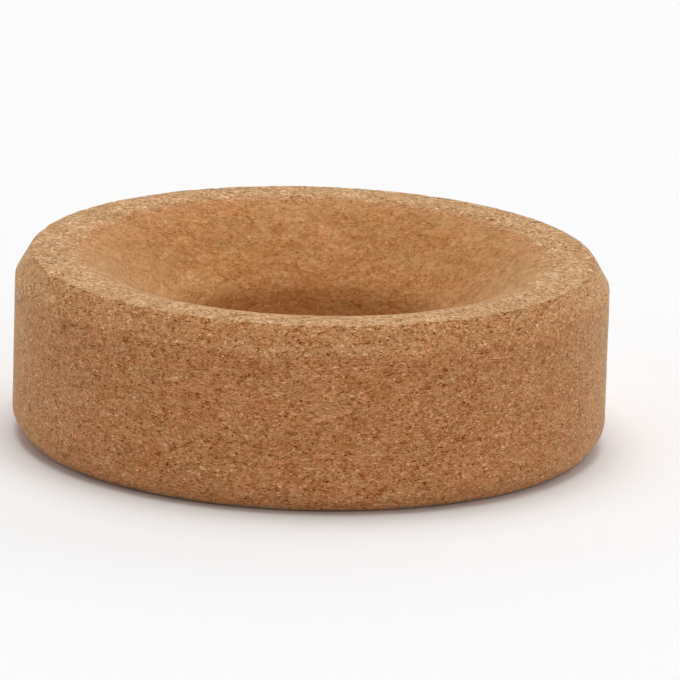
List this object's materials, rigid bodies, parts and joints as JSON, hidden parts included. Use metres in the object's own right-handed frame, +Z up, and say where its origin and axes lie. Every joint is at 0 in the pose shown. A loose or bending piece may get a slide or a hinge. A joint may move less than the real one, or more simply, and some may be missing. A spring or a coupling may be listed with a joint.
{
  "type": "cork ring",
  "caption": "Turned cork ring with a dished, bell-mouthed seat and a through bore, to stand a round-bottomed vessel on a bench.",
  "frame": {"origin": "on the ring's axis, in the plane of its flat base", "axes": "+Z up along the ring's axis, from the base towards the seat; X and Y are any two radii at right angles, because the ring is round"},
  "size_m": [0.095, 0.095, 0.03],
  "materials": {
    "cork": "matte, sanded agglomerated cork with fine tan and brown granules"
  },
  "bodies": {
    "root": {"cork_ring": "cork"}
  },
  "joints": []
}
